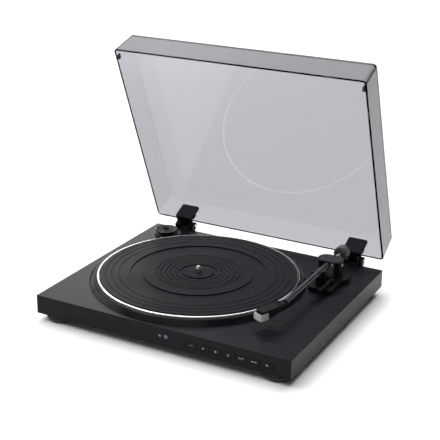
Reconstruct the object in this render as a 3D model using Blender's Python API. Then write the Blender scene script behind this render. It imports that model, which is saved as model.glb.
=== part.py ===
"""Belt-drive turntable with a hinged dust cover, built as separate working pieces.

Metres, +Z up, +Y to the rear, feet standing on z = 0.  The row's origin lies under the middle
of the whole object with its cover open; the plinth is centred on x = 0 and on y = PLINTH_Y.
Pieces of the plinth are placed from an empty at the plinth's centre on the floor, and each
moving group hangs from an empty that sits on its joint's axis.
"""

from math import atan2, cos, pi, radians, sin, sqrt

import bmesh
import bpy
from mathutils import Matrix, Vector

# ---------------------------------------------------------------- driving dimensions (metres)
GAP = 0.0003                      # clearance kept between touching pieces

PLINTH_W, PLINTH_D = 0.400, 0.331
PLINTH_BOTTOM = 0.011             # underside of the plinth above the floor
PLINTH_H = 0.028
DECK = PLINTH_BOTTOM + PLINTH_H
PLINTH_WALL = 0.003
EDGE_RADIUS = 0.0008
FRONT_Y = -PLINTH_D / 2
REAR_Y = PLINTH_D / 2

FOOT_R, FOOT_H = 0.0245, PLINTH_BOTTOM - GAP
FOOT_X, FOOT_Y = 0.172, 0.139

PLATTER_X = -0.0277
PLATTER_R = 0.150
PLATTER_TOP = DECK + 0.0102
PLATE_Z0, PLATE_Z1 = DECK + 0.0052, DECK + 0.0082      # the platter's flat web
RIM_BOTTOM = DECK - 0.010
MAT_R = 0.1462
MAT_TOP = DECK + 0.0111
WELL_R = 0.1513
WELL_FLOOR = DECK - 0.012
WELL_WALL = 0.003
WELL_FLOOR_T = 0.0025
BOSS_TOP_R, BOSS_BASE_R, BOSS_H = 0.154, 0.1605, 0.008
SPINDLE_TIP = DECK + 0.021
SPINDLE_R = 0.0036
HUB_RIM_IN, HUB_RIM_OUT = 0.060, 0.064               # ring under the platter that the belt turns

PULLEY_R = 0.0055
MOTOR_DISTANCE, MOTOR_ANGLE = 0.089, radians(215)
MOTOR_X = PLATTER_X + MOTOR_DISTANCE * cos(MOTOR_ANGLE)
MOTOR_Y = MOTOR_DISTANCE * sin(MOTOR_ANGLE)
MOTOR_R = 0.018
BELT_T, BELT_H, BELT_Z = 0.0006, 0.0042, DECK - 0.0058

BUTTON_COUNT = 7
BUTTON_PITCH = 0.01870
BUTTON_FIRST_X = 0.0448           # left edge of the first button
BUTTON_H, BUTTON_Z = 0.0074, DECK - 0.015
BUTTON_DEPTH, BUTTON_PROUD, BUTTON_GAP = 0.0055, GAP, 0.0006
LED_X, IR_X, LAMP_Z = 0.0054, 0.0147, DECK - 0.0128

PIVOT_X, PIVOT_Y = 0.1415, 0.098  # tonearm's vertical axis
ARM_Z = DECK + 0.0248             # axis of the arm tube
PEDESTAL_R, PEDESTAL_H = 0.030, 0.0065
PEDESTAL_TOP = DECK + PEDESTAL_H
CAP_TOP = ARM_Z + 0.0075
TUBE_R, SLEEVE_R = 0.0040, 0.0047
TUBE_END = -0.1580                # front end of the straight tube, from the pivot
OFFSET_ANGLE = radians(24)
LIFT_FORWARD = 0.031              # lift bar in front of the pivot
REST_FORWARD = 0.0405             # arm rest in front of the pivot
REST_PLAY = 0.0009                # room under the tube when it lies over the rest
LEVER_X, LEVER_Y, LEVER_Z = 0.0148, -0.032, PEDESTAL_TOP + 0.0045
WEIGHT_FRONT, WEIGHT_LENGTH, WEIGHT_R = 0.0405, 0.011, 0.011

LID_W, LID_D, LID_H = 0.3994, 0.3255, 0.0455
LID_WALL, LID_DRAFT = 0.003, 0.0022
LID_RIM = DECK + 0.002            # rim height with the cover shut
LID_REAR = 0.1627                 # rear rim with the cover shut
LID_OPEN = radians(68)
HINGE_Y, HINGE_Z = REAR_Y + 0.00935, DECK + 0.005
HINGE_X = 0.149
HINGE_HALF = 0.0165
KNUCKLE_HALF = 0.0093

ADAPTER_X, ADAPTER_Y = -0.160, 0.128
ADAPTER_R, ADAPTER_H = 0.0185, 0.010

LID_BACK_Y = (HINGE_Y + (LID_REAR - LID_DRAFT - HINGE_Y) * cos(LID_OPEN)
              + (LID_RIM + LID_H - HINGE_Z) * sin(LID_OPEN))
PLINTH_Y = -(LID_BACK_Y + FRONT_Y - BUTTON_PROUD) / 2

# ------------------------------------------------------------------------------- materials
MATERIALS = {}


def material(name, colour, roughness, metallic=0.0, alpha=1.0):
    mat = bpy.data.materials.new(name)
    mat.use_nodes = True
    shader = mat.node_tree.nodes["Principled BSDF"]
    shader.inputs["Base Color"].default_value = (*colour, 1)
    shader.inputs["Roughness"].default_value = roughness
    shader.inputs["Metallic"].default_value = metallic
    shader.inputs["Alpha"].default_value = alpha
    MATERIALS[name] = mat


def make_materials():
    material("plinth_black", (0.020, 0.020, 0.022), 0.38)
    material("cover_black", (0.030, 0.030, 0.030), 0.60)
    material("foot_rubber", (0.014, 0.014, 0.014), 0.80)
    material("mat_rubber", (0.022, 0.022, 0.022), 0.75)
    material("aluminium", (0.62, 0.62, 0.64), 0.28, 1.0)
    material("steel", (0.60, 0.60, 0.60), 0.22, 1.0)
    material("brass", (0.62, 0.45, 0.18), 0.30, 1.0)
    material("arm_grey", (0.075, 0.077, 0.082), 0.34, 0.4)
    material("arm_black", (0.018, 0.018, 0.018), 0.42)
    material("gloss_black", (0.012, 0.012, 0.012), 0.15)
    material("belt_rubber", (0.012, 0.012, 0.012), 0.65)
    material("board_green", (0.020, 0.120, 0.060), 0.50)
    material("socket_red", (0.550, 0.020, 0.020), 0.40)
    material("socket_white", (0.750, 0.750, 0.730), 0.40)
    material("lamp", (0.300, 0.320, 0.350), 0.20)
    material("guard_clear", (0.600, 0.600, 0.600), 0.25, 0.0, 0.6)
    material("smoked_acrylic", (0.110, 0.110, 0.115), 0.06, 0.0, 0.45)


# --------------------------------------------------------------------------- mesh builders
def turned(profile, segments):
    """A solid of revolution about Z.  The profile is a list of (radius, height): one that
    starts and ends on the axis makes a solid, any other is a closed section of a ring."""
    bm = bmesh.new()
    closed = profile[0][0] > 0
    rings = []
    for radius, height in profile:
        if radius == 0:
            rings.append([bm.verts.new((0, 0, height))] * segments)
            continue
        turn = [2 * pi * k / segments for k in range(segments)]
        rings.append([bm.verts.new((radius * cos(t), radius * sin(t), height)) for t in turn])
    pairs = list(zip(rings, rings[1:]))
    if closed:
        pairs.append((rings[-1], rings[0]))
    for low, high in pairs:
        for k in range(segments):
            corners = [low[k], low[k - 1], high[k - 1], high[k]]
            bm.faces.new(list(dict.fromkeys(corners)))
    return bm


def prism(outline, low, high):
    """A flat outline in X and Y, extruded from low to high along Z."""
    bm = bmesh.new()
    bottom = [bm.verts.new((x, y, low)) for x, y in outline]
    top = [bm.verts.new((x, y, high)) for x, y in outline]
    bm.faces.new(bottom)
    bm.faces.new(top)
    for k in range(len(outline)):
        bm.faces.new((bottom[k - 1], bottom[k], top[k], top[k - 1]))
    return bm


def box(x0, x1, y0, y1, z0, z1, bevel=0.0, segments=1):
    bm = prism([(x0, y0), (x1, y0), (x1, y1), (x0, y1)], z0, z1)
    if bevel:
        bmesh.ops.bevel(bm, geom=bm.edges[:], offset=bevel, segments=segments,
                        profile=0.5, affect="EDGES")
    return bm


def side_prism(outline, x0, x1):
    """An outline in Y and Z, extruded along X."""
    bm = prism(outline, x0, x1)
    bm.transform(Matrix(((0, 0, 1, 0), (1, 0, 0, 0), (0, 1, 0, 0), (0, 0, 0, 1))))
    return bm


def rounded_rectangle(half_x, half_y, radius, steps=4):
    points = []
    for quarter, (sx, sy) in enumerate(((1, 1), (-1, 1), (-1, -1), (1, -1))):
        for k in range(steps + 1):
            angle = (quarter + k / steps) * pi / 2
            points.append((sx * (half_x - radius) + radius * cos(angle),
                           sy * (half_y - radius) + radius * sin(angle)))
    return points


def circle(radius, segments, x=0.0, y=0.0):
    turn = [2 * pi * k / segments for k in range(segments)]
    return [(x + radius * cos(t), y + radius * sin(t)) for t in turn]


def along_y(bm):
    """Turns a piece built along Z so that its top points to the rear."""
    bm.transform(Matrix.Rotation(-pi / 2, 4, "X"))
    return bm


def along_x(bm):
    bm.transform(Matrix.Rotation(pi / 2, 4, "Y"))
    return bm


# ------------------------------------------------------------------------- object builders
def empty(name, location, parent=None, rotation=(0, 0, 0)):
    obj = bpy.data.objects.new(name, None)
    obj.empty_display_size = 0.01
    obj.location = location
    obj.rotation_euler = rotation
    obj.parent = parent
    bpy.context.scene.collection.objects.link(obj)
    return obj


def piece(name, bm, mat, parent, location=(0, 0, 0)):
    bmesh.ops.recalc_face_normals(bm, faces=bm.faces[:])
    mesh = bpy.data.meshes.new(name)
    bm.to_mesh(mesh)
    bm.free()
    mesh.shade_smooth()
    mesh.set_sharp_from_angle(angle=radians(32))
    mesh.materials.append(MATERIALS[mat])
    obj = bpy.data.objects.new(name, mesh)
    obj.location = location
    obj.parent = parent
    bpy.context.scene.collection.objects.link(obj)
    return obj


def shape(obj, operation, bm, label):
    """Cuts a body with a tool, or joins the tool to it.  The tool stays hidden."""
    tool = piece(f"tool_{obj.name}_{label}", bm, "cover_black", obj.parent, obj.location)
    tool.hide_render = True
    tool.display_type = "WIRE"
    step = obj.modifiers.new(label, "BOOLEAN")
    step.operation = operation
    step.solver = "EXACT"
    step.object = tool


# ---------------------------------------------------------------------------------- plinth
def make_plinth(base):
    half_w, half_d = PLINTH_W / 2, PLINTH_D / 2
    slab = box(-half_w, half_w, -half_d, half_d, PLINTH_BOTTOM, DECK, EDGE_RADIUS, 2)
    shell = piece("plinth_shell", slab, "plinth_black", base)
    ring = [(0, DECK - 0.001), (BOSS_BASE_R, DECK - 0.001), (BOSS_BASE_R, DECK),
            (BOSS_TOP_R + 0.0006, DECK + BOSS_H - 0.0006), (BOSS_TOP_R, DECK + BOSS_H),
            (0, DECK + BOSS_H)]
    boss = turned(ring, 96)
    boss.transform(Matrix.Translation((PLATTER_X, 0, 0)))
    shape(shell, "UNION", boss, "boss")

    well = prism(circle(WELL_R, 96, PLATTER_X), WELL_FLOOR, DECK + 0.02)
    shape(shell, "DIFFERENCE", well, "well")

    # the hollow under the deck: a box with the well's outer wall left standing in it
    wall = PLINTH_WALL
    hollow = box(-half_w + wall, half_w - wall, -half_d + wall, half_d - wall,
                 PLINTH_BOTTOM - 0.005, DECK - wall)
    cutter = piece("tool_hollow", hollow, "cover_black", base)
    cutter.hide_render = True
    cutter.display_type = "WIRE"
    keep = prism(circle(WELL_R + WELL_WALL, 96, PLATTER_X), WELL_FLOOR - WELL_FLOOR_T, DECK + 0.02)
    shape(cutter, "DIFFERENCE", keep, "well_wall")
    step = shell.modifiers.new("hollow", "BOOLEAN")
    step.operation = "DIFFERENCE"
    step.solver = "EXACT"
    step.object = cutter

    holes = {"bearing_hole": (0.0083, PLATTER_X, 0, WELL_FLOOR - 0.01, WELL_FLOOR + 0.003),
             "motor_hole": (MOTOR_R + GAP, MOTOR_X, MOTOR_Y, WELL_FLOOR - 0.01,
                            WELL_FLOOR + 0.003),
             "arm_hole": (0.0083, PIVOT_X, PIVOT_Y, DECK - 0.01, DECK + 0.003)}
    for label, (radius, x, y, low, high) in holes.items():
        shape(shell, "DIFFERENCE", prism(circle(radius, 24, x, y), low, high), label)
    window_x1 = BUTTON_FIRST_X + BUTTON_COUNT * BUTTON_PITCH + GAP
    window = box(BUTTON_FIRST_X - GAP, window_x1, FRONT_Y - 0.002, FRONT_Y + 0.006,
                 BUTTON_Z - BUTTON_H / 2 - GAP, BUTTON_Z + BUTTON_H / 2 + GAP)
    shape(shell, "DIFFERENCE", window, "button_window")
    for label, x, radius in (("lamp_hole", LED_X, 0.0021), ("receiver_hole", IR_X, 0.0036)):
        hole = along_y(prism(circle(radius, 16), -0.003, 0.006))
        hole.transform(Matrix.Translation((x, FRONT_Y, LAMP_Z)))
        shape(shell, "DIFFERENCE", hole, label)
    shape(shell, "DIFFERENCE", box(-0.0553, 0.0553, REAR_Y - 0.006, REAR_Y + 0.002,
                                   0.0152, 0.0348), "rear_window")


def make_underside(base):
    inner_x = PLINTH_W / 2 - PLINTH_WALL - 0.0004
    inner_y = PLINTH_D / 2 - PLINTH_WALL - 0.0004
    low = PLINTH_BOTTOM + GAP
    piece("bottom_cover", box(-inner_x, inner_x, -inner_y, inner_y, low, low + 0.002),
          "cover_black", base)
    foot = [(0, 0), (FOOT_R - 0.003, 0), (FOOT_R - 0.001, 0.002), (FOOT_R, 0.005),
            (FOOT_R, FOOT_H), (0, FOOT_H)]
    for name, sx, sy in (("foot_front_left", -1, -1), ("foot_front_right", 1, -1),
                         ("foot_rear_left", -1, 1), ("foot_rear_right", 1, 1)):
        piece(name, turned(foot, 32), "foot_rubber", base, (sx * FOOT_X, sy * FOOT_Y, 0))


# ----------------------------------------------------------------------- platter and drive
def make_platter(base):
    pivot = empty("platter_axis", (PLATTER_X, 0, 0), base)
    section = [(0.0039, PLATE_Z0 - 0.0049), (0.012, PLATE_Z0 - 0.0049), (0.012, PLATE_Z0),
               (HUB_RIM_IN, PLATE_Z0), (HUB_RIM_IN, DECK - 0.0075),
               (HUB_RIM_OUT, DECK - 0.0075), (HUB_RIM_OUT, PLATE_Z0), (0.144, PLATE_Z0),
               (0.144, RIM_BOTTOM), (PLATTER_R, RIM_BOTTOM), (PLATTER_R, PLATTER_TOP - 0.0012),
               (PLATTER_R - 0.0012, PLATTER_TOP), (MAT_R + 0.0004, PLATTER_TOP),
               (MAT_R + 0.0004, PLATE_Z1), (0.0039, PLATE_Z1)]
    piece("platter", turned(section, 72), "aluminium", pivot)
    mat = [(0.0041, PLATE_Z1 + GAP), (MAT_R, PLATE_Z1 + GAP), (MAT_R, MAT_TOP - 0.0004),
           (MAT_R - 0.0004, MAT_TOP), (0.0041, MAT_TOP)]
    piece("platter_mat", turned(mat, 72), "mat_rubber", pivot)
    seat = PLATE_Z0 - 0.0049 - GAP
    shaft = [(0, 0.0168), (0.003, 0.0168), (0.003, seat - 0.002), (0.009, seat - 0.002),
             (0.009, seat), (SPINDLE_R, seat), (SPINDLE_R, SPINDLE_TIP - 0.002),
             (0.0026, SPINDLE_TIP - 0.0005), (0, SPINDLE_TIP)]
    piece("spindle", turned(shaft, 24), "steel", pivot)
    cup = [(0, 0.0145), (0.008, 0.0145), (0.008, 0.0215), (0.014, 0.0215), (0.014, 0.0242),
           (0.008, 0.0242), (0.008, 0.0340), (0.0033, 0.0340), (0.0033, 0.0165), (0, 0.0165)]
    piece("bearing_sleeve", turned(cup, 24), "brass", base, (PLATTER_X, 0, 0))


def belt_outline(inset):
    """The belt's loop round the platter's hub ring and the pulley: two arcs and the straight
    runs that their ends leave between them."""
    big, small = HUB_RIM_OUT + inset, PULLEY_R + inset
    lean = atan2(big - small, sqrt(MOTOR_DISTANCE ** 2 - (big - small) ** 2))
    points = []
    for centre, radius, start, end, steps in (
            ((0, 0), big, pi / 2 - lean, 3 * pi / 2 + lean, 36),
            ((MOTOR_DISTANCE, 0), small, -pi / 2 + lean, pi / 2 - lean, 10)):
        for k in range(steps + 1):
            angle = start + (end - start) * k / steps
            points.append((centre[0] + radius * cos(angle), centre[1] + radius * sin(angle)))
    return points


def make_drive(base):
    can = [(0, 0.0143), (MOTOR_R - 0.0006, 0.0143), (MOTOR_R - 0.0006, 0.0300),
           (MOTOR_R - 0.002, 0.0305), (0.001, 0.0305), (0.001, 0.0390), (0, 0.0390)]
    piece("motor_body", turned(can, 32), "steel", base, (MOTOR_X, MOTOR_Y, 0))
    bracket = piece("motor_bracket", box(-0.030, 0.030, -0.023, 0.023, 0.0224, 0.0240, 0.0006),
                    "steel", base, (MOTOR_X, MOTOR_Y, 0))
    shape(bracket, "DIFFERENCE", prism(circle(MOTOR_R, 32), 0.02, 0.03), "motor_hole")
    pivot = empty("motor_axis", (MOTOR_X, MOTOR_Y, 0), base)
    wheel = [(0.0013, 0.0312), (0.0065, 0.0312), (0.0065, 0.0322), (PULLEY_R, 0.0326),
             (PULLEY_R, 0.0384), (0.0065, 0.0388), (0.0065, 0.0395), (0.0013, 0.0395)]
    piece("motor_pulley", turned(wheel, 24), "brass", pivot)
    belt = bmesh.new()
    loops = []
    for inset, z in ((GAP, BELT_Z), (GAP + BELT_T, BELT_Z), (GAP + BELT_T, BELT_Z + BELT_H),
                     (GAP, BELT_Z + BELT_H)):
        loops.append([belt.verts.new((x, y, z)) for x, y in belt_outline(inset)])
    for inner, outer in zip(loops, loops[1:] + loops[:1]):
        for k in range(len(inner)):
            belt.faces.new((inner[k - 1], inner[k], outer[k], outer[k - 1]))
    belt.transform(Matrix.Rotation(MOTOR_ANGLE, 4, "Z"))
    piece("drive_belt", belt, "belt_rubber", base, (PLATTER_X, 0, 0))


# -------------------------------------------------------------------- controls and sockets
def make_front_controls(base):
    for k in range(BUTTON_COUNT):
        centre = BUTTON_FIRST_X + (k + 0.5) * BUTTON_PITCH
        half = (BUTTON_PITCH - BUTTON_GAP) / 2
        pivot = empty(f"button_{k + 1}_axis", (centre, FRONT_Y - BUTTON_PROUD, BUTTON_Z), base)
        key = box(-half, half, 0, BUTTON_DEPTH, -BUTTON_H / 2, BUTTON_H / 2, 0.0003)
        piece(f"button_{k + 1}", key, "plinth_black", pivot)
    lens = [(0, 0), (1, 0), (1, 1), (0, 1)]
    for name, x, radius in (("lamp_lens", LED_X, 0.0018), ("receiver_window", IR_X, 0.0033)):
        section = [(r * radius, h * 0.0034) for r, h in lens]
        piece(name, along_y(turned(section, 16)), "lamp", base, (x, FRONT_Y - 0.0001, LAMP_Z))
    left = BUTTON_FIRST_X - 0.002
    right = BUTTON_FIRST_X + BUTTON_COUNT * BUTTON_PITCH + 0.002
    rear = FRONT_Y + BUTTON_DEPTH + 0.0015
    piece("button_board", box(left, right, rear, rear + 0.0016, 0.0170, 0.0300),
          "board_green", base)
    piece("main_board", box(0.055, 0.175, -0.115, -0.035, 0.0160, 0.0176), "board_green", base)


def make_rear_sockets(base):
    panel = piece("rear_panel", box(-0.055, 0.055, REAR_Y - 0.0028, REAR_Y - GAP,
                                    0.0155, 0.0345), "cover_black", base)
    middle = 0.025
    barrel = [(0.0016, -0.006), (0.0042, -0.006), (0.0042, 0.0065), (0.0032, 0.0068),
              (0.0016, 0.0068)]
    for name, x, mat in (("output_socket_left", 0.0300, "socket_white"),
                         ("output_socket_right", 0.0440, "socket_red")):
        hole = along_y(prism(circle(0.0045, 20), -0.01, 0.01))
        hole.transform(Matrix.Translation((x, REAR_Y, middle)))
        shape(panel, "DIFFERENCE", hole, name)
        piece(name, along_y(turned(barrel, 20)), mat, base, (x, REAR_Y, middle))
    hole = along_y(prism(circle(0.0043, 20), -0.01, 0.01))
    hole.transform(Matrix.Translation((-0.040, REAR_Y, middle)))
    shape(panel, "DIFFERENCE", hole, "power_hole")
    jack = [(0, -0.010), (0.004, -0.010), (0.004, 0.0006), (0.0028, 0.0006), (0.0028, -0.0085),
            (0.0010, -0.0085), (0.0010, -0.0010), (0, -0.0006)]
    piece("power_socket", along_y(turned(jack, 20)), "gloss_black", base,
          (-0.040, REAR_Y, middle))
    shape(panel, "DIFFERENCE", box(-0.0080, 0.0010, REAR_Y - 0.01, REAR_Y + 0.01,
                                   middle - 0.0018, middle + 0.0018), "switch_slot")
    pivot = empty("level_switch_axis", (-0.0055, REAR_Y, middle), base)
    slider = box(-0.0020, 0.0020, -0.0060, 0.0015, -0.0014, 0.0014, 0.0003)
    piece("level_switch", slider, "socket_white", pivot)


def make_adapter(base):
    pivot = empty("adapter_axis", (ADAPTER_X, ADAPTER_Y, 0), base)
    low = DECK + GAP
    top = low + ADAPTER_H
    section = [(0.0038, low), (ADAPTER_R, low), (ADAPTER_R, low + 0.0022),
               (ADAPTER_R - 0.0012, low + 0.0034), (ADAPTER_R - 0.0012, top - 0.0030),
               (ADAPTER_R, top - 0.0020), (ADAPTER_R - 0.0008, top), (0.0060, top),
               (0.0052, top - 0.0012), (0.0038, top - 0.0012)]
    piece("single_adapter", turned(section, 32), "gloss_black", pivot)


# ---------------------------------------------------------------------------------- tonearm
def make_arm_base(base):
    body = piece("tonearm_base", prism(circle(PEDESTAL_R, 48, PIVOT_X, PIVOT_Y),
                                       DECK + GAP, PEDESTAL_TOP), "arm_black", base)
    front = prism([(x + 0.1482, y + 0.0640) for x, y in
                   rounded_rectangle(0.0182, 0.0230, 0.005)], DECK + GAP, PEDESTAL_TOP)
    shape(body, "UNION", front, "front")
    ear_x = PIVOT_X + LEVER_X + 0.0022
    ear = box(ear_x, ear_x + 0.0025, PIVOT_Y + LEVER_Y - 0.004, PIVOT_Y + LEVER_Y + 0.004,
              DECK + 0.002, LEVER_Z + 0.0035, 0.0005)
    shape(body, "UNION", ear, "lever_ear")
    pin_hole = along_x(prism(circle(0.0015, 16), -0.01, 0.01))
    pin_hole.transform(Matrix.Translation((ear_x, PIVOT_Y + LEVER_Y, LEVER_Z)))
    shape(body, "DIFFERENCE", pin_hole, "pin_hole")
    shape(body, "DIFFERENCE", prism(circle(0.0056, 24, PIVOT_X, PIVOT_Y), DECK - 0.01,
                                    DECK + 0.02), "shaft_hole")

    housing = [(0.0053, 0.0220), (0.0080, 0.0220), (0.0080, 0.0328), (0.0140, 0.0328),
               (0.0140, 0.0357), (0.0080, 0.0357), (0.0080, DECK - 0.0003),
               (0.0053, DECK - 0.0003)]
    piece("arm_bearing", turned(housing, 24), "brass", base, (PIVOT_X, PIVOT_Y, 0))

    x, y = PIVOT_X, PIVOT_Y - LIFT_FORWARD
    tower = [(0.0023, PEDESTAL_TOP + GAP), (0.0048, PEDESTAL_TOP + GAP),
             (0.0042, PEDESTAL_TOP + 0.0070), (0.0023, PEDESTAL_TOP + 0.0070)]
    piece("lift_guide", turned(tower, 20), "arm_black", base, (x, y, 0))

    y = PIVOT_Y - REST_FORWARD
    saddle = ARM_Z - SLEEVE_R - REST_PLAY
    profile = [(-0.0044, PEDESTAL_TOP + GAP), (0.0098, PEDESTAL_TOP + GAP),
               (0.0098, ARM_Z + 0.0030), (0.0066, ARM_Z + 0.0030), (0.0060, ARM_Z - 0.0015),
               (0.0046, saddle + 0.0008), (0.0036, saddle), (-0.0044, saddle)]
    rest = prism(profile, -0.0035, 0.0035)
    rest.transform(Matrix.Rotation(pi / 2, 4, "X"))
    piece("arm_rest", rest, "arm_black", base, (x, y, 0))


def make_cueing(base):
    pivot = empty("lift_bar_axis", (PIVOT_X, PIVOT_Y - LIFT_FORWARD, 0), base)
    top = ARM_Z - SLEEVE_R - 0.0005
    bar = piece("lift_bar", box(-0.0150, 0.0095, -0.0026, 0.0026, top - 0.0036, top, 0.0010),
                "arm_black", pivot)
    knob = turned([(0, -0.0034), (0.0026, -0.0034), (0.0036, -0.0022), (0.0036, -0.0008),
                   (0.0028, 0.0), (0, 0.0)], 20)
    knob.transform(Matrix.Translation((-0.0150, 0, top)))
    shape(bar, "UNION", knob, "knob")
    rod = prism(circle(0.0019, 16), PEDESTAL_TOP + 0.0008, top - 0.0020)
    shape(bar, "UNION", rod, "rod")

    pivot = empty("cue_lever_axis", (PIVOT_X + LEVER_X, PIVOT_Y + LEVER_Y, LEVER_Z), base)
    handle = [(0.0030, -0.0026), (0.0030, 0.0026), (-0.0280, 0.0016), (-0.0440, 0.0030),
              (-0.0440, 0.0006), (-0.0280, -0.0014)]
    lever = piece("cue_lever", side_prism(handle, -0.0022, 0.0016), "arm_black", pivot)
    shape(lever, "UNION", along_x(prism(circle(0.0032, 20), -0.0024, 0.0018)), "hub")
    shape(lever, "UNION", along_x(prism(circle(0.0011, 12), 0.0, 0.0044)), "pin")


def make_yoke(base):
    """The part that turns on the vertical axis: shaft, disc, two legs and the flat cap."""
    pivot = empty("arm_yaw_axis", (PIVOT_X, PIVOT_Y, 0), base)
    low = PEDESTAL_TOP + GAP
    disc = [(0, low), (0.0195, low), (0.0195, low + 0.0014), (0.0187, low + 0.0022),
            (0, low + 0.0022)]
    yoke = piece("gimbal_yoke", turned(disc, 40), "arm_black", pivot)
    for label, side in (("left_leg", -1), ("right_leg", 1)):
        leg = prism(circle(0.0062, 20, side * 0.0125), low + 0.0010, CAP_TOP - 0.0010)
        shape(yoke, "UNION", leg, label)
    cap = [(x, y) for x, y in rounded_rectangle(0.0190, 0.0135, 0.0134, 6)]
    shape(yoke, "UNION", prism(cap, CAP_TOP - 0.0027, CAP_TOP), "cap")
    slot = box(-0.0063, 0.0063, -0.03, 0.03, low + 0.0022, CAP_TOP - 0.0027)
    shape(yoke, "DIFFERENCE", slot, "slot")
    pins = along_x(prism(circle(0.0016, 16), -0.0095, 0.0095))
    pins.transform(Matrix.Translation((0, 0, ARM_Z)))
    shape(yoke, "DIFFERENCE", pins, "pin_sockets")

    stem = [(0, 0.0160), (0.0045, 0.0160), (0.0045, low - GAP), (0, low - GAP)]
    piece("yaw_shaft", turned(stem, 24), "steel", pivot)
    arm = piece("return_arm", prism(rounded_rectangle(0.0070, 0.0070, 0.0068, 5),
                                    0.0185, 0.0200), "steel", pivot)
    shape(arm, "UNION", box(0.002, 0.036, -0.0040, 0.0040, 0.0185, 0.0200), "finger")
    shape(arm, "DIFFERENCE", prism(circle(0.0048, 24), 0.01, 0.03), "bore")
    return pivot


def make_arm(yaw):
    """The part that tips up and down on the yoke.  Its own origin is the pivot point."""
    pivot = empty("arm_pitch_axis", (0, 0, ARM_Z), yaw)
    axle = piece("pivot_block", box(-0.0055, 0.0055, -0.0060, 0.0060, -0.0036, 0.0038, 0.0008),
                 "steel", pivot)
    shape(axle, "UNION", along_x(prism(circle(0.0013, 12), -0.0088, 0.0088)), "pins")
    shape(axle, "DIFFERENCE", along_y(prism(circle(0.0029, 20), -0.02, 0.02)), "tube_bore")

    # neck under the cap, collar, sleeve, then the thinner tube
    tube = [(0, -TUBE_END), (TUBE_R, -TUBE_END), (TUBE_R, 0.0520), (SLEEVE_R, 0.0510),
            (SLEEVE_R, 0.0180), (0.0056, 0.0180), (0.0056, 0.0158), (0.0026, 0.0158),
            (0.0026, -0.0090), (0, -0.0090)]
    bm = turned([(r, -h) for r, h in tube], 28)
    piece("arm_tube", along_y(bm), "arm_grey", pivot)

    stub = [(0, 0.0093), (0.0030, 0.0093), (0.0030, 0.0525), (0, 0.0525)]
    piece("rear_stub", along_y(turned(stub, 20)), "steel", pivot)
    dial = [(0.0034, WEIGHT_FRONT - 0.0010), (0.0052, WEIGHT_FRONT - 0.0010),
            (0.0052, WEIGHT_FRONT - 0.0033), (0.0104, WEIGHT_FRONT - 0.0033),
            (0.0108, WEIGHT_FRONT - 0.0029), (0.0108, WEIGHT_FRONT - GAP),
            (0.0034, WEIGHT_FRONT - GAP)]
    slide = empty("weight_slide_axis", (0, 0, 0), pivot)
    piece("force_dial", along_y(turned(dial, 24)), "arm_black", slide)
    y0, y1 = WEIGHT_FRONT, WEIGHT_FRONT + WEIGHT_LENGTH
    weight = [(0.0034, y0), (WEIGHT_R - 0.0006, y0), (WEIGHT_R, y0 + 0.0006),
              (WEIGHT_R, y1 - 0.0010), (WEIGHT_R - 0.0010, y1), (0.0034, y1)]
    piece("counterweight", along_y(turned(weight, 36)), "arm_grey", slide)

    # headshell group: its own X runs forward along the cartridge, turned by the offset angle
    head = empty("headshell_frame", (0, TUBE_END, 0), pivot, (0, 0, -pi / 2 - OFFSET_ANGLE))
    plan = [(0.0035, -0.0046), (0.0100, -0.0078), (0.0440, -0.0080), (0.0465, -0.0060),
            (0.0465, 0.0060), (0.0440, 0.0080), (0.0100, 0.0078), (0.0035, 0.0046)]
    shell = piece("headshell", prism(plan, -0.0024, 0.0024), "arm_black", head)
    taper = side_prism([(-0.02, 0.0024), (0.02, 0.0024), (0.02, 0.006), (-0.02, 0.006)],
                       0.0, 0.05)
    taper.transform(Matrix.Rotation(radians(2.2), 4, "Y"))
    shape(shell, "DIFFERENCE", taper, "sloping_top")
    bay = box(0.0205, 0.0452, -0.0072, 0.0072, -0.0028, -0.0012)
    shape(shell, "DIFFERENCE", bay, "cartridge_bay")
    finger = [(0.0300, -0.0083), (0.0345, -0.0083), (0.0340, -0.0180), (0.0312, -0.0180)]
    piece("finger_lift", prism(finger, -0.0012, 0.0000), "arm_black", head)
    body = [(0.0215, -0.0015), (0.0442, -0.0015), (0.0442, -0.0070), (0.0390, -0.0112),
            (0.0215, -0.0112)]
    cartridge = prism(body, -0.0068, 0.0068)
    cartridge.transform(Matrix.Rotation(pi / 2, 4, "X"))
    piece("cartridge", cartridge, "arm_black", head)
    nib = [(0.0396, -0.0110), (0.0446, -0.0072), (0.0458, -0.0078), (0.0452, -0.0118),
           (0.0448, -0.0118), (0.0440, -0.0098), (0.0400, -0.0120)]
    stylus = prism(nib, -0.0016, 0.0016)
    stylus.transform(Matrix.Rotation(pi / 2, 4, "X"))
    piece("stylus", stylus, "socket_red", head)

    guard_axis = empty("stylus_guard_axis", (0, 0, 0), head)
    cup = box(0.0350, 0.0495, -0.0082, 0.0082, -0.0132, -0.0028, 0.0006)
    guard = piece("stylus_guard", cup, "guard_clear", guard_axis)
    inside = box(0.0340, 0.0483, -0.0071, 0.0071, -0.0122, -0.0020)
    shape(guard, "DIFFERENCE", inside, "inside")


# ------------------------------------------------------------------------------- dust cover
def shell_ring(bm, inset, height, lid_top):
    """One rounded rectangle of the cover's wall, drawn in by the draft at its height."""
    draw = LID_DRAFT * (height - LID_RIM) / (lid_top - LID_RIM)
    half_x, half_y = LID_W / 2 - draw - inset, LID_D / 2 - draw - inset
    middle = LID_REAR - LID_D / 2
    outline = rounded_rectangle(half_x, half_y, 0.0055 - inset * 0.6, 4)
    return [bm.verts.new((x, y + middle, height)) for x, y in outline]


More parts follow.
